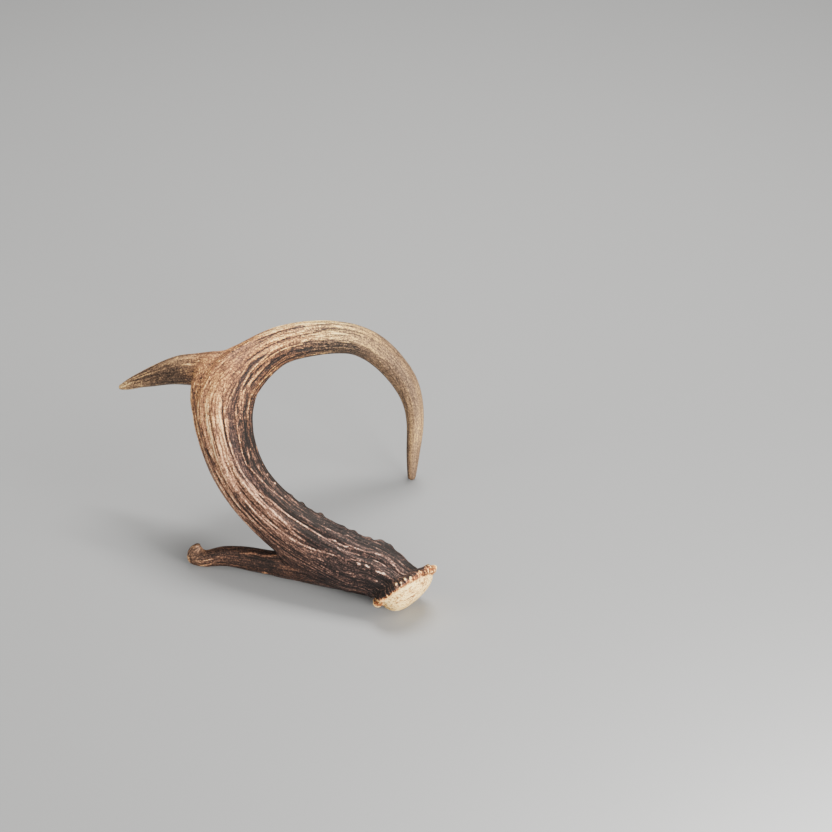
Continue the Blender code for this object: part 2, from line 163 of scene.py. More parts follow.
# Relief of the solids. The groove's path is distance along the beam and angle in degrees, and
# a pearl is distance, angle, radius and rise. A web is what a fork is filled by: height, reach.
RIDGE_COUNT = 11
RIDGE_HEIGHT = 0.75
GROOVE_DEPTH = 1.8
GROOVE_HALF_WIDTH = 3.2
GROOVE_PATH = ((130, 111), (164, 112), (203, 107), (246, 107), (271, 100), (300, 92))
PEARLS = (
    (17.0, 178.0, 9.0, 2.4),
    (24.5, 176.0, 5.5, 3.8),
    (30.0, 178.0, 5.5, 4.2),
    (38.0, 186.0, 6.0, 2.2),
    (52.0, 176.0, 6.0, 1.9),
    (65.0, 190.0, 5.0, 0.8),
    (74.0, 170.0, 4.5, 0.7),
    (87.0, 180.0, 6.0, 2.1),
    (99.0, 196.0, 4.5, 0.8),
    (109.0, 176.0, 6.0, 2.4),
    (124.0, 186.0, 5.0, 1.0),
    (138.0, 172.0, 5.0, 0.8),
    (44.0, 212.0, 5.5, 1.8),
    (80.0, 207.0, 5.5, 1.6),
    (60.0, 154.0, 5.0, 1.2),
)
BROW_WEB = (1.2, 5.0)
BACK_WEB = (2.2, 8.0)
TIP_WEB = (0.4, 2.5)

# The forks' smoothing, none of it near the burr.
FORK_REACH = 5.0
FORK_PASSES = 70
BURR_ZONE = 45.0
FORK_BLEND = 6.5  # the grain of two branches mixes over this at a fork, mm

# Mesh density.
SEAL_ROWS = 15
SEAL_CROWDING = 1.38  # the nearer to a quarter turn, the closer the rows at the seal's edge
SEAL_EDGE = 0.985
BURR_ROWS = 17
BEAM_AROUND = 232
BROW_AROUND = 96
BACK_AROUND = 84
TIP_AROUND = 44
THICK_LENGTH = 330.0  # past this the beam is thin enough for half the points
BEAM_STEP = 1.35
HOOK_STEP = 1.5
TINE_STEP = 1.5
TIP_STEP = 0.8

# The grain and the small relief.
BEAM_LINES = 50  # dark lines of the grain round the beam
TABLE_LENGTH = 97  # cells along a noise table before it repeats
TABLE_START = 40.0  # keeps the places in a noise table above zero
SMALL_PEARLS = 150
PEARL_SEED = 5
BEAD_SEED = 11
BEAD_RINGS = ((1.2, 50), (3.4, 46), (5.6, 44), (7.6, 40))  # height, count
FOOT_REACH = 60.0  # the foot of the beam is greyer out to twice this, mm

# Tones that marks, bead tops and the seal are drawn towards, and the hue of the last two.
SLATE_TONE = 0.26
DARK_TONE = 0.18
PALE_TONE = 0.84
BEAD_TONE = 0.95
SEAL_TONE = 1.0
SEAL_HUE = 0.8

# The camera, in the upright frame, mm.
VIEW_DISTANCE = 2650.0
VIEW_X = 8.925
VIEW_Z = 144.925
VIEW_WIDTH = 707.2  # what the picture spans at the origin's depth
SENSOR_WIDTH = 36.0

# The studio. The floor is in mm.
FLOOR_SIDE = 4000.0
FLOOR_FRONT = -3000.0
FLOOR_BACK = 2600.0  # from here the floor curves up into a wall
FLOOR_CURVE = 800.0
FLOOR_TOP = 3000.0
LIGHT_TINT = (1.0, 0.93, 0.85)


def unit(vectors):
    """Vectors scaled to length one."""
    vectors = np.asarray(vectors, float)
    return vectors / np.linalg.norm(vectors, axis=-1, keepdims=True)


def smooth(value):
    """Smooth ramp from 0 at 0 to 1 at 1."""
    value = np.clip(value, 0.0, 1.0)
    return value * value * (3.0 - 2.0 * value)


def bump(distance, radius):
    """A round bump, 1 at distance 0 and nearly 0 at the radius."""
    return np.exp(-(distance / (0.6 * radius)) ** 2)


def apart(angle, middle):
    """How far angles are from a middle one, the short way round."""
    return np.mod(angle - middle + math.pi, TURN) - math.pi


def between(s, start, end, rise, fall):
    """0 outside start to end, and 1 inside it past the rise and before the fall."""
    return smooth((s - start) / rise) * smooth((end - s) / fall)


def circle(around):
    """Cosines and sines of evenly spaced angles, as columns."""
    angle = np.arange(around) * TURN / around
    return np.cos(angle)[:, None], np.sin(angle)[:, None]


class Branch:
    """A smooth tube through stations, with a section frame at every point of it."""

    def __init__(self, stations, start_axis=None):
        self.knots = np.asarray(stations, float)
        chords = np.linalg.norm(np.diff(self.knots[:, :3], axis=0), axis=1)
        self.stops = np.concatenate(([0.0], np.cumsum(chords)))
        self.length = self.stops[-1]
        self.curvature = self.solve_curvature()
        self.start_axis = start_axis

    def solve_curvature(self):
        """Second derivatives of a natural cubic spline through the stations."""
        count = len(self.stops)
        steps = np.diff(self.stops)
        matrix = np.eye(count)
        rhs = np.zeros_like(self.knots)
        for i in range(1, count - 1):
            matrix[i, i - 1] = steps[i - 1]
            matrix[i, i] = 2.0 * (steps[i - 1] + steps[i])
            matrix[i, i + 1] = steps[i]
            ahead = (self.knots[i + 1] - self.knots[i]) / steps[i]
            behind = (self.knots[i] - self.knots[i - 1]) / steps[i - 1]
            rhs[i] = 6.0 * (ahead - behind)
        return np.linalg.solve(matrix, rhs)

    def at(self, s):
        """Middle, tangent, half width and half thickness at distances s."""
        s = np.asarray(s, float)
        i = np.clip(np.searchsorted(self.stops, s) - 1, 0, len(self.stops) - 2)
        step = (self.stops[i + 1] - self.stops[i])[:, None]
        t = s[:, None] - self.stops[i][:, None]
        k0, k1 = self.knots[i], self.knots[i + 1]
        c0, c1 = self.curvature[i], self.curvature[i + 1]
        slope = (k1 - k0) / step - step * (2.0 * c0 + c1) / 6.0
        value = k0 + slope * t + c0 * t * t / 2.0 + (c1 - c0) * t ** 3 / (6.0 * step)
        rate = slope + c0 * t + (c1 - c0) * t * t / (2.0 * step)
        return value[:, :3], unit(rate[:, :3]), value[:, 3], value[:, 4]

    def frames(self, s):
        """Middle, tangent, outward and front directions and half sizes at distances s."""
        middle, tangent, width, thickness = self.at(s)
        if self.start_axis is not None:
            turned = smooth(np.asarray(s) / OBLIQUE_LENGTH)[:, None]
            tangent = unit((1.0 - turned) * self.start_axis + turned * tangent)
        outward = unit(np.cross(tangent, DEPTH_AXIS))
        front = np.cross(tangent, outward)
        return middle, tangent, outward, front, width, thickness

    def distance(self, points):
        """Rough distance in mm from points to this branch's surface, negative inside."""
        samples = np.linspace(0.0, self.length, 90)
        middle, tangent, outward, front, width, thickness = self.frames(samples)
        nearest = nearest_of(points, middle)
        offset = points - middle[nearest]
        across = (offset * outward[nearest]).sum(axis=1) / width[nearest]
        through = (offset * front[nearest]).sum(axis=1) / thickness[nearest]
        past_end = (offset * tangent[nearest]).sum(axis=1) / width[nearest]
        ratio = np.sqrt(across ** 2 + through ** 2 + past_end ** 2)
        reach = np.linalg.norm(offset, axis=1)
        return reach * (1.0 - 1.0 / np.maximum(ratio, 1e-6))

    def locate(self, points):
        """Where points lie on this branch: distance along, angle and radius of the section."""
        samples = np.linspace(0.0, self.length, 500)
        s = samples[nearest_of(points, self.frames(samples)[0])]
        for _ in range(3):
            middle, tangent, outward, front, width, thickness = self.frames(s)
            s = np.clip(s + 0.8 * ((points - middle) * tangent).sum(axis=1), 0.0, self.length)
        offset = points - middle
        across = (offset * outward).sum(axis=1) / width
        through = (offset * front).sum(axis=1) / thickness
        return s, np.mod(np.arctan2(through, across), TURN), np.sqrt(width * thickness)


def nearest_of(points, middles):
    """For each point, which of the middles is nearest."""
    squares = (middles ** 2).sum(axis=1)
    found = [np.argmin(squares - 2.0 * part @ middles.T, axis=1)
             for part in np.array_split(points, 16)]
    return np.concatenate(found)


# ---- the plain surface

def rings(branch, stops, around, forks):
    """Sections of a branch at the given stops, raised where another branch of a fork is close."""
    made = []
    cos, sin = circle(around)
    middle, _, outward, front, width, thickness = branch.frames(stops)
    for i in range(len(stops)):
        flat = width[i] * cos * outward[i] + thickness[i] * sin * front[i]
        normals = unit(thickness[i] * cos * outward[i] + width[i] * sin * front[i])
        points = middle[i] + flat
        for other, (height, reach) in forks:
            near = np.exp(-(other.distance(points) / reach) ** 2)
            points = points + normals * (height * near)[:, None]
        made.append(points)
    return made


def tip_rings(branch, around):
    """Shrinking sections and the end point that round off a tip."""
    middle, tangent, outward, front, width, thickness = branch.frames([branch.length])
    cos, sin = circle(around)
    made = []
    for turn in (15.0, 30.0, 45.0, 60.0, 74.0):
        shrink = math.cos(math.radians(turn))
        ahead = middle + tangent * width * math.sin(math.radians(turn))
        made.append(ahead + shrink * (width * cos * outward + thickness * sin * front))
    return made, middle + tangent * width


def burr_frame():
    """The burr's axis out of the base, and its outward and front directions."""
    axis = unit(BURR_NORMAL)
    outward = unit(np.cross(-axis, DEPTH_AXIS))
    return axis, outward, np.cross(-axis, outward)


def base_rings(around):
    """The seal and the burr, as sections from the seal's middle to the foot of the beam."""
    axis, outward, front = burr_frame()
    cos, sin = circle(around)

    def section(radius, height):
        flat = radius * cos * outward + BURR_FLATNESS * radius * sin * front
        return np.array(BURR_MIDDLE) + flat - height * axis

    made = []
    turns = np.linspace(0.1, 1.0, SEAL_ROWS) * SEAL_CROWDING
    for share in np.sin(turns) / math.sin(SEAL_CROWDING) * SEAL_EDGE:
        cap = SEAL_HEIGHT * (1.0 - share ** 3) ** 0.6
        lean = 1.0 + SEAL_LEAN * share * cos
        made.append(section(SEAL_RADIUS * share, -cap * lean))
    profile = np.asarray(BURR_PROFILE)
    places = np.linspace(0.0, len(profile) - 1.0, BURR_ROWS)
    heights, radii = (np.interp(places, np.arange(len(profile)), part) for part in profile.T)
    for height, radius, place in zip(heights, radii, places, strict=True):
        share = math.sin(math.pi * place / (len(profile) - 1))
        made.append(section(radius + 0.5 * share, height))
    return made, np.array(BURR_MIDDLE) + axis * SEAL_HEIGHT


def skin(rows, first_point, last_point):
    """Points and faces over rows of points; a row may have half as many as the one before."""
    starts = np.cumsum([0] + [len(row) for row in rows])
    tips = [np.reshape(point, (1, 3)) for point in (first_point, last_point)]
    points = np.concatenate(rows + tips)
    foot, head = len(points) - 2, len(points) - 1
    faces = []
    for i in range(len(rows) - 1):
        low, high = int(starts[i]), int(starts[i + 1])
        count, upper = len(rows[i]), len(rows[i + 1])
        for j in range(upper):
            k = (j + 1) % upper
            if count == upper:
                faces.append((low + j, low + k, high + k, high + j))
                continue
            left, mid, right = 2 * j, 2 * j + 1, (2 * j + 2) % count
            faces.append((low + left, low + mid, high + j))
            faces.append((low + mid, high + k, high + j))
            faces.append((low + mid, low + right, high + k))
    count = len(rows[0])
    faces.extend((foot, (j + 1) % count, j) for j in range(count))
    count, low = len(rows[-1]), int(starts[-2])
    faces.extend((head, low + j, low + (j + 1) % count) for j in range(count))
    return points, faces


def steps(start, end, step):
    """Evenly spaced distances from start to end, about a step apart."""
    return np.linspace(start, end, max(2, round((end - start) / step) + 1))


def scene_object(name, data):
    """A new object of the scene that shows the data."""
    made = bpy.data.objects.new(name, data)
    bpy.context.scene.collection.objects.link(made)
    return made


def mesh_object(name, points, faces):
    """A mesh object of points in millimetres."""
    mesh = bpy.data.meshes.new(name)
    mesh.from_pydata((points * MM).tolist(), [], faces)
    return scene_object(name, mesh)


def make_beam(beam, forks):
    """The seal, the burr, the beam and its hook as one closed surface."""
    rows, foot = base_rings(BEAM_AROUND)
    rows += rings(beam, steps(0.0, THICK_LENGTH, BEAM_STEP), BEAM_AROUND, forks)
    hook = steps(THICK_LENGTH, beam.length, HOOK_STEP)[1:]
    rows += rings(beam, hook, BEAM_AROUND // 2, forks)
    ends, head = tip_rings(beam, BEAM_AROUND // 2)
    return mesh_object("antler", *skin(rows + ends, foot, head))


def make_tine(name, tine, fork, around=BACK_AROUND, step=TINE_STEP):
    """One tine as a closed surface whose root is buried in the branch it grows from."""
    rows = rings(tine, steps(0.0, tine.length, step), around, [fork])
    ends, head = tip_rings(tine, around)
    return mesh_object(name, *skin(rows + ends, tine.knots[0, :3], head))


def joined_mesh(target, others):
    """Target with the others grown into it, as new mesh data."""
    for other in others:
        modifier = target.modifiers.new(other.name, "BOOLEAN")
        modifier.operation = "UNION"
        modifier.solver = "EXACT"
        modifier.object = other
    depsgraph = bpy.context.evaluated_depsgraph_get()
    mesh = bpy.data.meshes.new_from_object(target.evaluated_get(depsgraph))
    target.modifiers.clear()
    for other in others:
        bpy.data.objects.remove(other, do_unlink=True)
    return mesh


def read_points(mesh):
    """A mesh's points in millimetres."""
    points = np.empty(len(mesh.vertices) * 3)
    mesh.vertices.foreach_get("co", points)
    return points.reshape(-1, 3) / MM


def write_points(mesh, points):
    """Gives a mesh its points, in millimetres."""
    mesh.vertices.foreach_set("co", (points * MM).ravel())
    mesh.update()


def spread(points, ends, count, share):
    """Points drawn by a share towards the middle of their neighbours."""
    total = np.stack([np.bincount(ends[:, 0], points[ends[:, 1], axis], len(points))
                      for axis in range(3)], axis=1)
    return points + share[:, None] * (total / count[:, None] - points)


def soften_forks(points, edges, forks):
    """Points near both surfaces of a fork, smoothed."""
    nearness = np.zeros(len(points))
    for first, second in forks:
        gap = np.maximum(np.abs(first.distance(points)), np.abs(second.distance(points)))
        nearness = np.maximum(nearness, smooth(1.5 - gap / FORK_REACH))
    nearness *= smooth(np.linalg.norm(points, axis=1) / BURR_ZONE - 1.0)
    ends = np.concatenate((edges, edges[:, ::-1]))
    count = np.bincount(ends[:, 0], minlength=len(points))
    for _ in range(FORK_PASSES):
        points = spread(points, ends, count, 0.6 * nearness)
    return points


# ---- relief and tone

def grain(angle, s, around, length, seed):
    """Smooth noise from -1 to 1 on a branch, in cells of a share of the way round by a length."""
    table = np.random.default_rng(seed).uniform(-1.0, 1.0, (around, TABLE_LENGTH))
    u = np.mod(angle / TURN, 1.0) * around
    v = s / length + TABLE_START
    i, j = np.floor(u).astype(int), np.floor(v).astype(int)
    across, along = smooth(u - i), smooth(v - j)
    left, right = i % around, (i + 1) % around
    low, high = j % TABLE_LENGTH, (j + 1) % TABLE_LENGTH
    near = table[left, low] * (1.0 - across) + table[right, low] * across
    far = table[left, high] * (1.0 - across) + table[right, high] * across
    return near * (1.0 - along) + far * along


def ridges(s, angle, radius):
    """Long low ridges that drift slowly around the branch, in mm."""
    drift = 0.35 * np.sin(s / 61.0) + 0.25 * np.sin(s / 23.0 + 1.3)
    wave = np.cos(RIDGE_COUNT * angle + 3.0 * drift)
    uneven = 0.7 + 0.3 * np.sin(3.0 * angle + s / 37.0) + 0.2 * np.sin(5.0 * angle - s / 19.0)
    return RIDGE_HEIGHT * wave * uneven * smooth((radius - 4.0) / 18.0)


def strands(angle, s, radius, count, length, share, seed):
    """Fine lines along a branch that drift and come and go: 1 on a line, 0 between lines."""
    draw = np.random.default_rng(seed)
    drift = draw.uniform(-0.42, 0.42, (count, TABLE_LENGTH))
    strength = draw.uniform(0.0, 1.0, (count, TABLE_LENGTH))
    turns = np.mod(angle / TURN, 1.0) * count
    place = s / length + TABLE_START
    low = np.floor(place).astype(int)
    along = smooth(place - low)
    low, high = low % TABLE_LENGTH, (low + 1) % TABLE_LENGTH
    half_width = 0.22 + 0.018 * radius
    cover = np.zeros(len(s))
    for step in (-1, 0, 1):
        line = np.floor(turns).astype(int) + step
        row = line % count
        shift = drift[row, low] * (1.0 - along) + drift[row, high] * along
        shown = strength[row, low] * (1.0 - along) + strength[row, high] * along
        away = (turns - line - 0.5 - shift) * TURN * radius / count
        cover = np.maximum(cover, smooth((shown - 1.0 + share) / 0.35)
                           * np.exp(-(away / half_width) ** 2))
    return cover


def bone_grain(s, angle, radius, count, seed):
    """The bone's grain on a branch: dark lines, pale lines, dark dashes, bands, fine grain."""
    wander = 1.7 * grain(angle, s, 6, 60.0, seed) + 0.4 * grain(angle, s, 14, 22.0, seed + 1)
    a = angle + wander / np.maximum(radius, 6.0)
    dark = strands(a, s, radius, count, 52.0, 0.68, seed + 2)
    pale = strands(a, s, radius, count + 5, 44.0, 0.56, seed + 3)
    dash = strands(a, s, radius, count + 9, 7.0, 0.34, seed + 4)
    band = grain(a, s, count // 2, 40.0, seed + 5)
    fine = grain(a, s, 3 * count, 8.0, seed + 6)
    return dark, pale, dash, band, fine


def table_tone(s, angle, table):
    """Tone from a table of distance and the percents of tone at the angles of SIDES."""
    table = np.asarray(table)
    count = len(SIDES)
    columns = np.stack([np.interp(s, table[:, 0], table[:, 1 + i % count] / 100.0)
                        for i in range(count + 1)])
    place = np.interp(np.degrees(angle), (*SIDES, 360.0), np.arange(count + 1))
    low = np.minimum(place.astype(int), count - 1)
    share = smooth(place - low)
    rows = np.arange(len(s))
    return columns[low, rows] * (1.0 - share) + columns[low + 1, rows] * share


# Tone in percent by distance along each branch, from 0, black-brown, to 100, cream, at these
# angles: the curve's outer side is 0, the front 90, the inner side 180, the back 270 degrees.
SIDES = (0, 50, 90, 130, 180, 270)
# On the beam the inner side, at 130 and 180 degrees, is darker partly by the bone's own colour and
# partly by painted shade, most of all at 150 to 190 mm and on the underside of the arch.
BEAM_TONE_AND_SHADE = (
    (0, 16, 11, 10, 4, 6, 16),
    (40, 16, 13, 12, 5, 6, 16),
    (90, 21, 18, 23, 11, 7, 21),
    (120, 34, 37, 40, 20, 9, 32),
    (150, 50, 55, 54, 7, -2, 44),
    (190, 60, 66, 69, 9, 1, 52),
    (210, 62, 70, 77, 30, 12, 54),
    (240, 66, 66, 68, 43, 16, 56),
    (270, 49, 49, 60, 46, 14, 54),
    (310, 66, 67, 70, 42, 16, 62),
    (345, 84, 84, 73, 36, 17, 70),
    (390, 68, 68, 56, 29, 17, 62),
    (430, 54, 54, 51, 42, 35, 54),
    (480, 55, 56, 55, 50, 45, 52),
    (508, 64, 67, 69, 61, 50, 57),
    (530, 54, 54, 54, 49, 45, 52),
    (553, 47, 47, 47, 44, 42, 47),
)
BROW_TONE = (
    (0, 14, 12, 14, 12, 12, 14),
    (60, 14, 12, 18, 13, 11, 14),
    (83, 16, 20, 36, 18, 12, 14),
    (98, 12, 12, 8, 10, 12, 14),
    (112, 14, 13, 2, 9, 13, 16),
    (126, 18, 22, 12, 15, 17, 20),
    (138, 23, 25, 20, 20, 22, 23),
    (150, 30, 29, 28, 27, 28, 28),
    (172, 40, 34, 30, 32, 35, 34),
)
TIP_TONE = (
    (0, 42, 44, 44, 44, 42, 40),
    (15, 46, 48, 49, 48, 46, 44),
)
# On the back tine the lower side, at 0 and 50 degrees, is darker than its top from about 28 to 75
# mm: painted shade.
BACK_TONE_AND_SHADE = (
    (0, 56, 56, 57, 56, 55, 54),
    (20, 54, 56, 57, 57, 56, 50),
    (28, 32, 36, 56, 58, 56, 48),
    (36, 28, 30, 54, 59, 56, 44),
    (44, 28, 29, 44, 57, 55, 42),
    (57, 30, 30, 35, 50, 53, 40),
    (75, 40, 37, 36, 45, 50, 40),
    (88, 54, 47, 42, 46, 48, 44),
    (98, 60, 58, 54, 52, 52, 52),
    (106, 76, 76, 74, 72, 72, 68),
)
# How strongly the grain shows, by distance along the beam.
BEAM_CONTRAST = ((0, 1.15), (60, 1.1), (120, 1.1), (210, 1.1), (270, 1.15), (310, 1.3),
                 (360, 1.25), (400, 0.7), (440, 0.5), (480, 0.42), (553, 0.38))

# How pinkish grey the bone is, by distance along the beam.
BEAM_ROSE = ((0, 1.0), (100, 1.0), (150, 0.8), (200, 0.5), (240, 0.2), (280, 0.0))

# Marks on the front, drawn as the picture shows them: half width in mm, strength, and the points
# of the path, as how far left and up they are in tenths of a mm, on the plane through the origin
# that faces the camera.
PALE_MARKS_AND_HIGHLIGHTS = (
    # A painted highlight: the wide pale band along the front of the arch.
    (2.0, 0.55, (1364, 1885), (1271, 1951), (1155, 2010), (927, 2095), (700, 2125), (472, 2112),
     (320, 2044), (174, 1925)),
    (0.58, 0.6, (1220, 2070), (1067, 2146), (897, 2180), (710, 2214), (523, 2214)),
    (0.6, 0.8, (1176, 2004), (1241, 1972), (1312, 1923), (1354, 1862), (1384, 1811), (1417, 1752),
     (1446, 1686), (1472, 1635), (1496, 1582)),
    (0.61, 0.95, (1470, 1635), (1496, 1582), (1520, 1515), (1518, 1367), (1506, 1261),
     (1461, 1123), (1407, 1000), (1347, 905), (1279, 820), (1211, 769), (1152, 740), (1093, 686),
     (1006, 613), (908, 549), (830, 496), (742, 446), (664, 398), (605, 359), (566, 320),
     (507, 296), (429, 281), (400, 271)),
    (0.7, 0.9, (1136, 2002), (1188, 1960), (1241, 1906), (1282, 1864), (1315, 1826), (1342, 1778),
     (1368, 1730), (1390, 1680), (1399, 1620), (1406, 1510)),
    (0.38, 0.6, (1296, 1615), (1267, 1667), (1227, 1739), (1188, 1778), (1162, 1798),
     (1080, 1855)),
    (0.58, 0.8, (1399, 1660), (1422, 1585), (1434, 1540), (1437, 1505), (1429, 1399), (1425, 1318),
     (1397, 1204), (1383, 1131), (1347, 1041), (1299, 984), (1245, 922), (1169, 846), (1067, 761),
     (973, 684)),
    (0.5, 0.7, (1136, 2018), (1266, 1855), (1315, 1725), (1380, 1578), (1393, 1472)),
    (0.86, 0.6, (1577, 1432), (1544, 1259), (1483, 1109), (1407, 986), (1313, 871), (1220, 778),
     (1135, 701)),
    (0.72, 0.5, (1648, 1297), (1585, 1107), (1492, 948), (1381, 812), (1271, 701), (1152, 608),
     (1024, 514)),
    (1.08, 0.8, (1152, 676), (1084, 593), (1024, 540), (976, 485), (918, 428), (859, 393)),
    (0.58, 0.95, (1220, 599), (1152, 540), (1054, 466), (956, 393), (859, 344), (762, 310),
     (664, 281), (605, 266), (527, 232)),
    (0.43, 0.6, (908, 613), (840, 569), (781, 535)),
    (0.43, 0.7, (742, 530), (683, 496), (625, 471), (557, 446), (489, 437), (429, 422)),
    (0.5, 0.95, (673, 412), (605, 393), (566, 364), (507, 339), (468, 344), (411, 320),
     (332, 286)),
    (1.8, 0.45, (260, 276), (210, 272), (169, 254), (124, 220), (94, 172)),
    (0.6, 0.7, (169, 263), (116, 220), (94, 172), (47, 119), (-21, 87)),
    (0.5, 0.9, (283, 232), (224, 208), (156, 164)),
    (0.43, 0.8, (117, 144), (78, 115), (39, 86)),
    (0.58, 0.6, (59, 222), (0, 164), (-58, 125)),
    (0.43, 0.9, (503, 222), (459, 232), (411, 222), (371, 212)),
    (1.8, 1.0, (404, 199), (386, 184)),
    (1.1, 1.0, (346, 182), (304, 166)),
    (0.94, 1.0, (254, 134), (217, 119), (170, 98)),
    (1.3, 1.0, (200, 114), (170, 100)),
    (0.5, 0.8, (386, 59), (380, 56)),
    (1.01, 1.0, (581, 128), (572, 126)),
    (0.72, 0.8, (253, 47), (236, 45)),
    (0.65, 0.9, (341, 253), (332, 250)),
    (0.5, 0.6, (371, 422), (293, 388), (215, 349)),
    (0.43, 0.6, (1152, 427), (1093, 378), (1034, 339), (956, 291)),
    (0.43, 0.5, (869, 261), (791, 232)),
    (0.5, 0.5, (566, 134), (468, 105), (411, 86)),
    (0.58, 0.5, (644, 27), (547, -3), (449, -31), (322, -60)),
    (0.58, 0.5, (1024, 798), (956, 729), (898, 681)),
    # A painted highlight along the top of the brow tine.
    (0.9, 0.55, (1407, 280), (1322, 285), (1279, 280), (1220, 259), (1152, 259), (1067, 268)),
    (0.6, 0.6, (1747, 208), (1687, 225), (1628, 234)),
    (0.6, 0.7, (1772, 174), (1704, 179), (1653, 195), (1611, 204)),
    (1.2, 0.8, (1853, 260), (1846, 226), (1832, 200)),
    (0.9, 0.7, (1304, 1092), (1297, 1084)),
    (0.8, 0.7, (1254, 1033), (1245, 999)),
    (1.1, 0.8, (1182, 953), (1172, 943)),
    (1.3, 0.8, (1119, 876), (1109, 866)),
    (0.6, 0.6, (1271, 1186), (1262, 1143)),
    (0.8, 0.7, (1347, 1169), (1326, 1075)),
    (0.6, 0.6, (1214, 1036), (1208, 1030)),
    (0.5, 0.55, (1316, 1700), (1324, 1620), (1332, 1458), (1326, 1300), (1296, 1186)),
    (0.8, 0.8, (1220, 119), (1177, 116)),
    (0.8, 0.6, (2310, 1760), (2190, 1805), (2120, 1825)),
    (0.9, 0.7, (2315, 1714), (2215, 1708)),
)

# The upper end of the dark channel on the front, in tenths of a mm.
CHANNEL = ((1176, 1987), (1227, 1948), (1267, 1916), (1312, 1870), (1346, 1820),
           (1378, 1765), (1411, 1706), (1440, 1647))

DARK_MARKS_AND_SHADE = (
    (0.8, 0.9, (1551, 1692), (1559, 1529), (1547, 1408), (1534, 1285), (1502, 1164), (1445, 1041),
     (1380, 927), (1271, 820), (1135, 710)),
    (0.7, 0.9, (1459, 1809), (1382, 1885), (1268, 1980), (1155, 2046), (1022, 2104), (889, 2132),
     (700, 2179), (510, 2169)),
    (0.6, 0.75, (1268, 2056), (1079, 2169), (889, 2207), (727, 2223)),
    (1.0, 0.85, (1347, 1725), (1356, 1562), (1397, 1472), (1372, 1424)),
    (1.0, 0.85, (1413, 1375), (1380, 1302), (1363, 1245)),
    (1.0, 0.85, (1356, 1220), (1315, 1139), (1266, 1050), (1220, 982), (1152, 897)),
    (0.7, 0.8, (1220, 1806), (1266, 1692), (1306, 1529), (1319, 1367), (1305, 1221), (1271, 1118)),
    (1.0, 0.8, (1705, 1183), (1648, 1069), (1611, 994)),
    (0.9, 0.7, (1762, 1411), (1724, 1221)),
    (0.9, 0.8, (1459, 766), (1382, 671), (1305, 591)),
    (0.6, 0.6, (1811, 1692), (1794, 1529), (1771, 1408)),
    (0.7, 0.75, (897, 2053), (761, 2087), (599, 2087), (455, 2053), (319, 1985)),
    (0.6, 0.5, (744, 1993), (591, 2010), (455, 1976), (336, 1908)),
    (0.6, 0.5, (285, 2019), (149, 1891), (55, 1730), (-4, 1551)),
    (0.9, 0.85, (1381, 1458), (1415, 1356)),
    (0.8, 0.85, (1369, 1449), (1373, 1381)),
    (1.3, 0.9, (1322, 1152), (1284, 1109)),
    (1.3, 0.9, (1318, 1058), (1271, 990)),
    (0.9, 0.9, (1250, 1075), (1233, 1016)),
    (1.1, 0.9, (1220, 939), (1194, 914)),
    (1.3, 0.9, (1135, 846), (1092, 812)),
    (1.3, 0.85, *CHANNEL),
    (1.1, 0.6, (2330, 1746), (2210, 1780), (2105, 1800)),
    # Painted shade: a wide dark patch on the back tine's lower side where it leaves the palm.
    (2.0, 0.35, (2050, 1875), (1965, 1840), (1905, 1780)),
)
SLATE_MARKS = (
    (1.7, 1.0, (1150, 2006), *CHANNEL[:5]),
    (1.9, 1.0, (1292, 1894), *CHANNEL[4:]),
    (2.6, 0.7, (1395, 1735), *CHANNEL[6:], (1463, 1589), (1479, 1530)),
    (3.5, 0.65, (1452, 1615), (1479, 1530), (1486, 1470), (1479, 1400)),
    (3.7, 1.0, (1481, 1460), (1476, 1364), (1454, 1245), (1420, 1126), (1364, 999), (1301, 914),
     (1220, 829)),
    (1.4, 0.8, (1543, 1330), (1509, 1203), (1475, 1101), (1424, 1007), (1373, 922), (1296, 829)),
)


def seen_from_front(points):
    """Across and height of points as the camera sees them, at the origin's depth."""
    size = 1.0 + points[:, 1] / VIEW_DISTANCE
    return np.stack((VIEW_X + (points[:, 0] - VIEW_X) / size,
                     VIEW_Z + (points[:, 2] - VIEW_Z) / size), axis=1)


def marks_cover(seen, marks):
    """How much of each seen point the marks cover, from 0 to 1."""
    cover = np.zeros(len(seen))
    for half_width, strength, *path in marks:
        path = np.asarray(path) / (-10.0, 10.0)
        lengths = np.linalg.norm(np.diff(path, axis=0), axis=1)
        total, begun = lengths.sum(), 0.0
        for a, b, length in zip(path[:-1], path[1:], lengths, strict=True):
            t = np.clip(((seen - a) @ (b - a)) / length ** 2, 0.0, 1.0)
            away = np.linalg.norm(seen - a - t[:, None] * (b - a), axis=1)
            place = (begun + t * length) / total
            width = half_width * (0.5 + 0.5 * smooth(4.0 * np.minimum(place, 1.0 - place)))
            edge = 0.4 + (width - away) / (0.6 + 0.25 * width)
            cover = np.maximum(cover, strength * smooth(edge))
            begun += length
    return cover


def tone_of(s, angle, table, grained, contrast):
    """Tone on a branch: its table and slow patches, then its dark and pale lines."""
    dark, pale, dash, band, fine = grained
    tone = table_tone(s, angle, table) + 0.04 * grain(angle, s, 7, 38.0, 900)
    lines = 0.29 * pale - 0.34 * dark - 0.30 * dash + 0.10 * band + 0.12 * fine
    return tone + contrast * lines


def all_pearls():
    """The solids' pearls and small ones, each with how light its top and how dark its ring is."""
    draw = np.random.default_rng(PEARL_SEED)
    listed = [(*pearl, 0.12, 0.0) for pearl in PEARLS]
    for _ in range(SMALL_PEARLS):
        place, degrees = draw.uniform(18.0, 200.0), 176.0 + 30.0 * draw.normal()
        size, rise, light = draw.uniform((1.4, 0.1, 0.05), (2.4, 0.5, 0.5))
        fade = float(smooth((225.0 - place) / 60.0))
        listed.append((place, degrees, size, rise * fade, light, 0.18))
    return listed


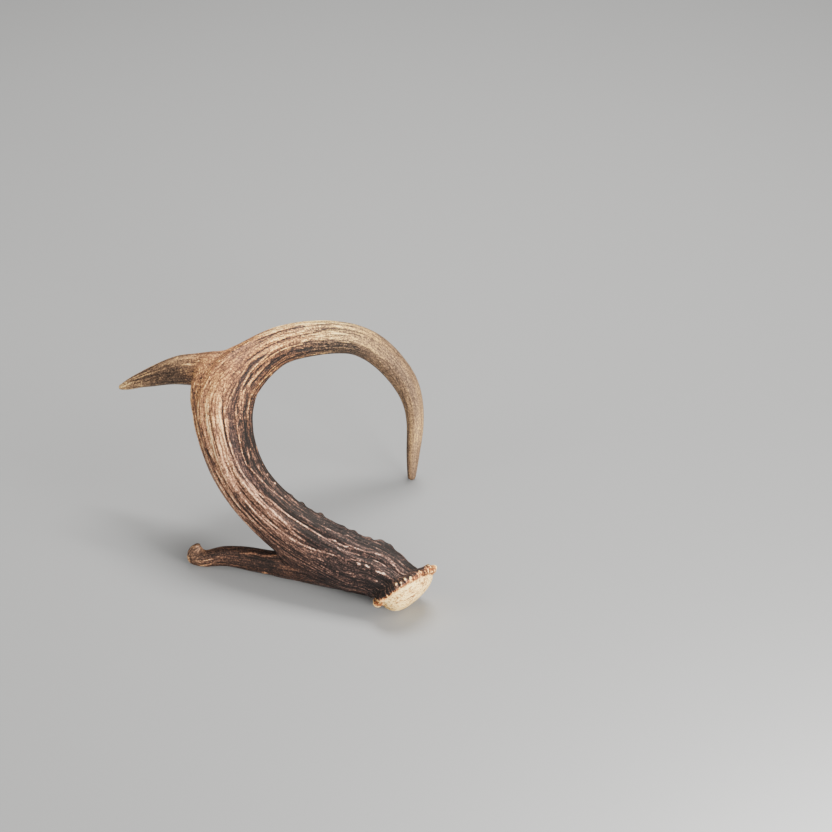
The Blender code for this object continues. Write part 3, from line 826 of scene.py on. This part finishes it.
def beam_surface(s, angle, radius):
    """Height in mm, tone, hue, mottling, rose and contrast at places on the beam."""
    grained = bone_grain(s, angle, radius, BEAM_LINES, 100)
    dark, pale, dash, _, fine = grained
    palm = between(s, 215.0, 315.0, 25.0, 25.0) * bump(apart(angle, 0.85), 1.5)
    hook = smooth((s - 300.0) / 60.0)
    contrast = np.interp(s, *np.transpose(BEAM_CONTRAST))
    inner = between(s, 125.0, 300.0, 30.0, 50.0) * bump(apart(angle, 2.55), 1.0)
    arch = between(s, 285.0, 390.0, 30.0, 25.0) * (1.6 * bump(apart(angle, 0.7), 2.4) - 0.6)
    point = smooth((s - 370.0) / 40.0)
    base = smooth((110.0 - s) / 50.0)
    shown = contrast * (1.0 - 0.55 * palm - 0.4 * point - 0.2 * base) + 0.7 * inner + 0.7 * arch
    tone = tone_of(s, angle, BEAM_TONE_AND_SHADE, grained, shown)
    full = smooth((radius - 3.0) / 8.0)
    cut = (1.0 - 0.6 * palm) * (1.0 - 0.55 * hook) * full
    height = ridges(s, angle, radius)
    height = height + cut * (0.3 * pale - 0.6 * dark - 0.4 * dash + 0.12 * fine)
    path = np.asarray(GROOVE_PATH)
    middle = np.radians(np.interp(s, path[:, 0], path[:, 1]))
    groove = bump((angle - middle) * radius, 2.0 * GROOVE_HALF_WIDTH)
    fade = between(s, path[0, 0], path[-1, 0], 30.0, 30.0)
    height = height - GROOVE_DEPTH * fade * groove
    for place, degrees, size, rise, light, ring in all_pearls():
        near = np.abs(s - place) < 2.5 * size
        around = (angle[near] - math.radians(degrees)) * radius[near]
        away = np.hypot(s[near] - place, around)
        knob = bump(away, size)
        height[near] += rise * knob
        tone[near] += light * knob ** 2 - ring * (1.0 - knob) * bump(away, 1.8 * size)
    rose = np.interp(s, *np.transpose(BEAM_ROSE))
    hue = 1.0 - 0.92 * smooth((s - 300.0) / 80.0)
    specked = contrast + 0.4 * inner + 0.3 * hook + 0.4 * base
    return height, tone, hue, palm + 0.6 * point, rose, specked


def tine_surface(table, lines, seed, hue, hue_from, mottle, rose):
    """A function that gives a tine what beam_surface gives the beam."""
    def surface(s, angle, radius):
        grained = bone_grain(s, angle, radius, lines, seed)
        dark, pale, dash, _, fine = grained
        contrast = 0.3 + 0.5 * smooth(table_tone(s, angle, table) / 0.4)
        tone = tone_of(s, angle, table, grained, contrast)
        cut = smooth((radius - 2.0) / 8.0)
        height = ridges(s, angle, radius)
        height = height + cut * (0.2 * pale - 0.45 * dark - 0.3 * dash + 0.1 * fine)
        hues = 1.0 + (hue - 1.0) * smooth((s - hue_from) / 40.0)
        level = np.ones(len(s))
        return height, tone, hues, mottle * level, rose * level, level
    return surface


def band_height(angle):
    """How far the burr's beads reach up the beam at angles round the burr, in mm."""
    return np.interp(np.degrees(angle), *np.transpose(BURR_BAND), period=360.0)


def beads():
    """The burr's beads: angle, height over the burr's plane, radius, rise."""
    draw = np.random.default_rng(BEAD_SEED)
    listed = list(BURR_KNOBS)
    for height, count in BEAD_RINGS:
        for i in range(count):
            angle = (i + draw.uniform(-0.4, 0.4)) * TURN / count
            away, radius, rise = draw.uniform((-0.8, 1.1, 0.4), (0.8, 2.1, 1.3))
            if height + away < band_height(angle):
                listed.append((angle, height + away, radius, rise))
    return listed


def burr_surface(points):
    """Where seal, burr and rust are, the beads' height in mm and cover, and the rust's tone."""
    axis, outward, front = burr_frame()
    offset = points - np.array(BURR_MIDDLE)
    across, through = offset @ outward, offset @ front / BURR_FLATNESS
    height, radius = -offset @ axis, np.hypot(across, through)
    angle = np.mod(np.arctan2(through, across), TURN)
    here = (radius < 38.0) & (height > -16.0) & (height < 20.0)
    ragged = 0.9 * grain(angle, height, 30, 5.0, 920)
    lip = 1.7 * np.clip(np.sin(angle), 0.0, 1.0) + 0.25 * ragged
    seal = smooth((lip - 0.5 - height) / 0.9) * smooth(27.0 + 1.4 * lip - radius)
    seal = np.where(here, seal, 0.0)
    burr = np.where(here, smooth((height + 1.4) / 0.9) * smooth((11.5 - height) / 3.0), 0.0)
    rust = np.where(here, burr * smooth((band_height(angle) + ragged - height) / 1.2), 0.0)
    lift, bead = np.zeros(len(points)), np.zeros(len(points))
    close = np.flatnonzero(burr > 0.0)
    for place, middle, size, rise in beads():
        turn = apart(angle[close], place)
        knob = bump(np.hypot(turn * radius[close], height[close] - middle), size)
        lift[close] = np.maximum(lift[close], rise * knob)
        bead[close] = np.maximum(bead[close], knob)
    return seal, burr, rust, lift * burr, bead, 0.44 + 0.14 * np.abs(np.cos(angle)) ** 1.5


def blended(points, surfaces):
    """What the branches' surfaces give, blended at the forks, and the grain's place."""
    away = np.stack([np.abs(branch.distance(points)) for branch, _ in surfaces])
    weights = np.exp(-((away - away.min(axis=0)) / FORK_BLEND) ** 2)
    owner = away.argmin(axis=0)
    total = np.zeros((len(points), 6))
    flow = np.zeros((len(points), 3))
    for number, (branch, surface) in enumerate(surfaces):
        near = np.flatnonzero(weights[number] > 1e-4)
        s, angle, radius = branch.locate(points[near])
        total[near] += weights[number, near, None] * np.stack(surface(s, angle, radius), axis=1)
        own = owner[near] == number
        place = np.stack((radius * np.cos(angle), radius * np.sin(angle), s), axis=1)
        flow[near[own]] = place[own] + 70.0 * number
    return *(total / weights.sum(axis=0)[:, None]).T, flow


def point_normals(points, triangles):
    """Outward directions at points, from the triangles around them."""
    a, b, c = (points[triangles[:, corner]] for corner in range(3))
    face = np.cross(b - a, c - a)
    sums = [np.bincount(triangles.ravel(), np.repeat(face[:, axis], 3), len(points))
            for axis in range(3)]
    return unit(np.stack(sums, axis=1) + 1e-9)


def lay_down(points):
    """Upright millimetres to resting millimetres, flat where the antler touches the floor."""
    lean = math.radians(LEAN_DEG)
    x, y, z = points.T
    resting = np.stack((
        x - CENTRE_X,
        z * math.sin(lean) + y * math.cos(lean) - CENTRE_Y,
        z * math.cos(lean) - y * math.sin(lean) + FLOOR_DROP,
    ), axis=1)
    resting[:, 2] = np.maximum(resting[:, 2], 0.0)
    return resting


def dress(mesh, beam, brow, brow_tip, back):
    """Carves the relief into the joined surface, lays it down and stores what its look needs."""
    edges = np.array([edge.vertices[:] for edge in mesh.edges])
    mesh.calc_loop_triangles()
    triangles = np.array([triangle.vertices[:] for triangle in mesh.loop_triangles])
    points = soften_forks(read_points(mesh), edges, [(beam, brow), (beam, back), (brow, brow_tip)])
    height, tone, hue, mottle, rose, contrast, flow = blended(points, (
        (beam, beam_surface),
        (brow, tine_surface(BROW_TONE, lines=24, seed=200, hue=0.7, hue_from=130.0, mottle=0.3,
                            rose=0.5)),
        (brow_tip, tine_surface(TIP_TONE, lines=14, seed=300, hue=0.15, hue_from=-30.0, mottle=0.3,
                                rose=0.1)),
        (back, tine_surface(BACK_TONE_AND_SHADE, lines=20, seed=400, hue=0.1, hue_from=10.0, mottle=0.7,
                            rose=0.2)),
    ))
    normals = point_normals(points, triangles)
    seal, burr, rust, lift, bead, rust_tone = burr_surface(points)
    top = smooth(2.2 * bead - 0.8)
    plain = (1.0 - seal) * (1.0 - burr)
    faces_front = smooth((-normals[:, 1] - 0.02) / 0.25) * (1.0 - seal)
    seen = seen_from_front(points)
    slate, dark, pale = (marks_cover(seen, marks) * faces_front
                         for marks in (SLATE_MARKS, DARK_MARKS_AND_SHADE, PALE_MARKS_AND_HIGHLIGHTS))
    height = height * plain + lift + (0.3 * pale - 0.4 * dark) * plain
    axis, outward, front = burr_frame()
    flow = np.where(seal[:, None] > 0.5, points @ np.stack((axis, front, outward), axis=1), flow)
    foot = smooth(2.0 - np.linalg.norm(points, axis=1) / FOOT_REACH)
    points = lay_down(points + normals * height[:, None])
    points = np.clip(points, *(np.array(CAD_BOX) / MM))
    # Besides the bone's own marks, the dark marks carry painted shade and the pale marks painted
    # highlights, and the beam's and back tine's tables carry painted shade.
    for cover, target in ((slate * 0.85, SLATE_TONE), (dark, DARK_TONE), (rust, rust_tone),
                          (pale, PALE_TONE), (burr * top, BEAD_TONE), (seal, SEAL_TONE)):
        tone = tone + cover * (target - tone)
    slate = np.maximum(slate, 0.7 * foot * plain)
    hue = hue + (SEAL_HUE - hue) * np.maximum(seal, burr * top)
    rose = rose * (1.0 - rust) * (1.0 - seal) * (1.0 - burr * top)
    rust = rust * (1.0 - seal) * (1.0 - 0.85 * top)
    write_points(mesh, points)
    stored = dict(tone=tone, hue=hue, seal=seal, slate=slate, mottle=mottle, rose=rose,
                  contrast=contrast, rust=rust)
    for name, values in stored.items():
        mesh.attributes.new(name, "FLOAT", "POINT").data.foreach_set("value", values)
    mesh.attributes.new("flow", "FLOAT_VECTOR", "POINT").data.foreach_set("vector", flow.ravel())
    mesh.shade_smooth()


# ---- materials

def linear(colour):
    """A colour given as 0 to 255 sRGB numbers, as the linear colour that a shader takes."""
    share = np.asarray(colour) / 255.0
    return *np.where(share <= 0.04045, share / 12.92, ((share + 0.055) / 1.055) ** 2.4), 1.0


# The ramps: where their stops are, and the colours there, as sRGB numbers up to 255.
RAMP_STOPS = (0.0, 0.15, 0.3, 0.45, 0.6, 0.75, 0.9, 1.0)
WARM_TONES = (
    (20, 15, 14), (42, 30, 25), (66, 45, 36), (95, 65, 49), (134, 91, 62), (183, 129, 80),
    (238, 184, 86), (255, 228, 160),
)
ROSE_TONES = (
    (20, 15, 14), (42, 31, 28), (66, 47, 41), (95, 69, 58), (132, 97, 81), (178, 134, 111),
    (228, 188, 156), (252, 226, 194),
)
PALE_TONES = (
    (25, 21, 18), (47, 39, 33), (70, 56, 45), (96, 77, 61), (131, 107, 81), (177, 148, 106),
    (230, 192, 96), (253, 231, 164),
)
RUST_TINT = (236, 192, 150)
SLATE_TINT = (228, 236, 255)


class Nodes:
    """Short ways to add nodes to a material."""

    def __init__(self, name):
        self.material = bpy.data.materials.new(name)
        self.material.use_nodes = True
        self.tree = self.material.node_tree
        self.shader = self.tree.nodes["Principled BSDF"]

    def add(self, kind, inputs=(), **settings):
        """A node with its settings and inputs, given as pairs of name or number and value."""
        node = self.tree.nodes.new("ShaderNode" + kind)
        for key, value in settings.items():
            setattr(node, key, value)
        for name, value in inputs:
            self.fill(node.inputs[name], value)
        return node

    def fill(self, socket, value):
        """Links a socket to an output, or gives it a plain value."""
        if isinstance(value, bpy.types.NodeSocket):
            self.tree.links.new(value, socket)
        else:
            socket.default_value = value

    def shaded(self, *inputs):
        """The material, with its shader's inputs given as pairs of name and value."""
        for name, value in inputs:
            self.fill(self.shader.inputs[name], value)
        return self.material

    def attribute(self, name, output="Fac"):
        return self.add("Attribute", attribute_name=name).outputs[output]

    def math(self, operation, *values):
        """The result of one sum on numbers or outputs."""
        return self.add("Math", enumerate(values), operation=operation).outputs[0]

    def stretched(self, vector, share):
        """A place vector whose third part counts by a share."""
        inputs = enumerate((vector, (1.0, 1.0, share)))
        return self.add("VectorMath", inputs, operation="MULTIPLY").outputs[0]

    def noise(self, vector, scale, detail=2.0, roughness=0.55):
        inputs = {"Vector": vector, "Scale": scale, "Detail": detail, "Roughness": roughness}
        return self.add("TexNoise", inputs.items()).outputs["Fac"]

    def ramp(self, factor, colours):
        """Colours by factor through a colour ramp with its stops at RAMP_STOPS."""
        node = self.add("ValToRGB", (("Fac", factor),))
        elements = node.color_ramp.elements
        while len(elements) < len(RAMP_STOPS):
            elements.new(0.5)
        for element, place, colour in zip(elements, RAMP_STOPS, colours, strict=True):
            element.position = place
            element.color = linear(colour)
        return node.outputs["Color"]

    def mix(self, factor, first, second, blend="MIX"):
        """Two colours mixed by a factor."""
        inputs = ((0, factor), (6, first), (7, second))
        return self.add("Mix", inputs, data_type="RGBA", blend_type=blend).outputs[2]


def antler_material():
    """Bone with fine fibres along the grain, coloured by tone, hue, rose, rust and slate."""
    n = Nodes("antler_bone")
    place = n.add("TexCoord").outputs["Object"]
    flow = n.attribute("flow", "Vector")
    seal = n.attribute("seal")
    streaks = n.noise(n.stretched(flow, 0.03), 0.9, 2.0, 0.6)
    dashes = n.noise(n.stretched(flow, 0.20), 0.9, 3.0, 0.65)
    grit = n.noise(n.stretched(flow, 0.4), 1.3, 3.0, 0.75)
    specks = n.noise(place, 700.0, 3.0, 0.7)
    cloud = n.noise(place, 60.0, 2.0)
    mottle = n.attribute("mottle")
    texture = 0.0
    for fibres, mottled, share in ((streaks, -0.45, 0.6), (dashes, -0.4, 0.9), (grit, 0.5, 0.95),
                                   (specks, 0.0, 1.1), (cloud, 0.0, 0.1)):
        share = n.math("MULTIPLY_ADD", mottle, mottled, share)
        texture = n.math("MULTIPLY_ADD", n.math("SUBTRACT", fibres, 0.5), share, texture)
    tone = n.math("MULTIPLY_ADD", texture, n.attribute("contrast"), n.attribute("tone"))
    stains = n.math("SUBTRACT", n.noise(n.stretched(flow, 0.35), 0.25, 4.0, 0.65), 0.52)
    tone = n.math("MULTIPLY_ADD", n.math("MULTIPLY", stains, seal), 1.5, tone)
    colour = n.mix(n.attribute("hue"), n.ramp(tone, PALE_TONES), n.ramp(tone, WARM_TONES))
    colour = n.mix(n.attribute("rose"), colour, n.ramp(tone, ROSE_TONES))
    rust = n.math("MULTIPLY", n.attribute("rust"), 0.8)
    colour = n.mix(rust, colour, linear(RUST_TINT), "MULTIPLY")
    grey = n.mix(1.0, colour, linear(SLATE_TINT), "MULTIPLY")
    colour = n.mix(n.attribute("slate"), colour, grey)
    rough = n.math("MULTIPLY_ADD", seal, 0.15, n.math("MULTIPLY_ADD", tone, -0.16, 0.66))
    height = n.math("MULTIPLY_ADD", dashes, 0.6, n.math("MULTIPLY", specks, 0.4))
    bumps = n.add("Bump", (("Strength", 0.5), ("Distance", 0.0006), ("Height", height)))
    return n.shaded(("Base Color", colour), ("Roughness", rough), ("Specular IOR Level", 0.28),
                    ("Normal", bumps.outputs["Normal"]))


def floor_material():
    """Matt pale grey paper."""
    n = Nodes("studio_paper")
    place = n.add("TexCoord").outputs["Object"]
    shade = n.math("MULTIPLY_ADD", n.noise(place, 1.3, 1.0), 0.02, 0.322)
    colour = n.mix(shade, (0.0, 0.0, 0.0, 1.0), (0.875, 0.935, 1.0, 1.0))
    return n.shaded(("Base Color", colour), ("Roughness", 0.9), ("Specular IOR Level", 0.1))


# ---- studio

def make_floor():
    """A seamless sheet: flat floor that curves up far behind."""
    rows = [(FLOOR_FRONT, 0.0), (FLOOR_BACK, 0.0)]
    for turn in range(6, 91, 6):
        ahead, drop = math.sin(math.radians(turn)), math.cos(math.radians(turn))
        rows.append((FLOOR_BACK + FLOOR_CURVE * ahead, FLOOR_CURVE - FLOOR_CURVE * drop))
    rows.append((FLOOR_BACK + FLOOR_CURVE, FLOOR_TOP))
    points = [(side, y, z) for y, z in rows for side in (-FLOOR_SIDE, FLOOR_SIDE)]
    faces = [(2 * i, 2 * i + 1, 2 * i + 3, 2 * i + 2) for i in range(len(rows) - 1)]
    floor = mesh_object("studio_floor", np.array(points), faces)
    floor.data.shade_smooth()
    floor.data.materials.append(floor_material())


def add_light(name, place, target, size, power):
    """A soft rectangular light that faces a target."""
    data = bpy.data.lights.new(name, "AREA")
    data.shape = "RECTANGLE"
    data.size, data.size_y = size
    data.energy = power
    data.color = LIGHT_TINT
    light = scene_object(name, data)
    light.location = place
    aim = unit(np.subtract(target, place))
    light.rotation_euler = (math.acos(-aim[2]), 0.0, math.atan2(aim[1], aim[0]) - math.pi / 2.0)


def make_studio():
    """The floor, the soft lights above, beside and in front, and the pale surroundings."""
    make_floor()
    add_light("overhead", (0.35, 0.75, 1.75), (0.0, 0.05, 0.0), (0.9, 0.7), 60.0)
    add_light("left_box", (-1.6, -0.7, 1.1), (0.0, 0.0, 0.05), (0.8, 1.2), 17.0)
    add_light("right_box", (1.6, -0.6, 1.1), (0.0, 0.0, 0.05), (0.8, 1.2), 17.0)
    add_light("front_box", (0.5, -1.9, 0.6), (0.0, 0.0, 0.08), (1.4, 0.8), 25.0)
    add_light("low_card", (0.68, -0.72, 0.22), (0.1, -0.1, 0.02), (0.36, 0.16), 16.0)
    world = bpy.data.worlds.new("studio")
    world.use_nodes = True
    background = world.node_tree.nodes["Background"]
    background.inputs["Color"].default_value = (*LIGHT_TINT, 1.0)
    background.inputs["Strength"].default_value = 0.34
    bpy.context.scene.world = world


def make_camera():
    """A long lens that looks straight at the upright antler's front, so 30 degrees down."""
    lean = math.radians(LEAN_DEG)
    data = bpy.data.cameras.new("camera")
    data.sensor_width = SENSOR_WIDTH
    data.lens = SENSOR_WIDTH * VIEW_DISTANCE / VIEW_WIDTH
    camera = scene_object("camera", data)
    camera.location = (
        MM * (VIEW_X - CENTRE_X),
        MM * (VIEW_Z * math.sin(lean) - VIEW_DISTANCE * math.cos(lean) - CENTRE_Y),
        MM * (VIEW_Z * math.cos(lean) + VIEW_DISTANCE * math.sin(lean) + FLOOR_DROP),
    )
    camera.rotation_euler = (math.radians(90.0 - LEAN_DEG), 0.0, 0.0)
    bpy.context.scene.camera = camera


def main():
    beam = Branch(BEAM, start_axis=-unit(BURR_NORMAL))
    brow = Branch(BROW)
    brow_tip = Branch(BROW_TIP)
    back = Branch(BACK)
    antler = make_beam(beam, [(brow, BROW_WEB), (back, BACK_WEB)])
    antler.data = joined_mesh(antler, [
        make_tine("saddle", Branch(SADDLE), (beam, BROW_WEB)),
        make_tine("brow_root", brow, (beam, BROW_WEB), BROW_AROUND),
        make_tine("brow_end", brow_tip, (brow, TIP_WEB), TIP_AROUND, TIP_STEP),
        make_tine("back_root", back, (beam, BACK_WEB)),
        make_tine("palm", Branch(PALM), (beam, BROW_WEB)),
    ])
    dress(antler.data, beam, brow, brow_tip, back)
    antler.data.materials.clear()
    antler.data.materials.append(antler_material())
    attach(antler, "root")
    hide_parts("main_beam", "brow_tine", "hook_tine", "back_tine")
    make_studio()
    make_camera()


main()
